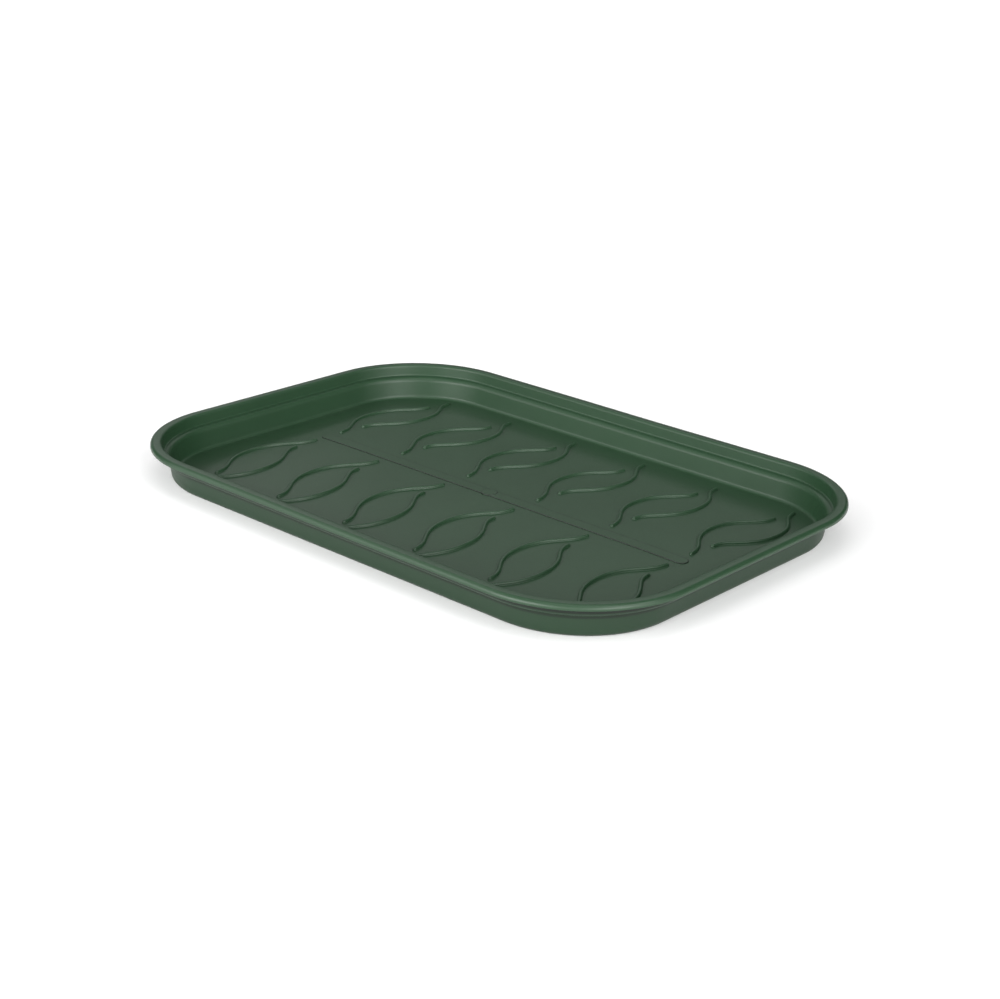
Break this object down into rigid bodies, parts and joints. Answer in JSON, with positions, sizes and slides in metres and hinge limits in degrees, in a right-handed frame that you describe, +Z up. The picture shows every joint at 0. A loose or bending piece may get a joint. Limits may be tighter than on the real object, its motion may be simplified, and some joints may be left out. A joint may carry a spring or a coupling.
{
  "type": "grow tray saucer",
  "caption": "Shallow rounded-rectangular saucer with a rolled rim, stepped wall and leaf-figure floor ribs, for catching water under plant trays.",
  "frame": {"origin": "middle of the tray, on the flat it stands on", "axes": "+X along the long side, +Y across the short side, +Z up out of the open side"},
  "size_m": [0.5, 0.353, 0.03],
  "materials": {
    "green_plastic": "dark green, semi-matt inside, finely grained on the outside of the wall"
  },
  "bodies": {
    "root": {"saucer": "green_plastic"}
  },
  "joints": []
}
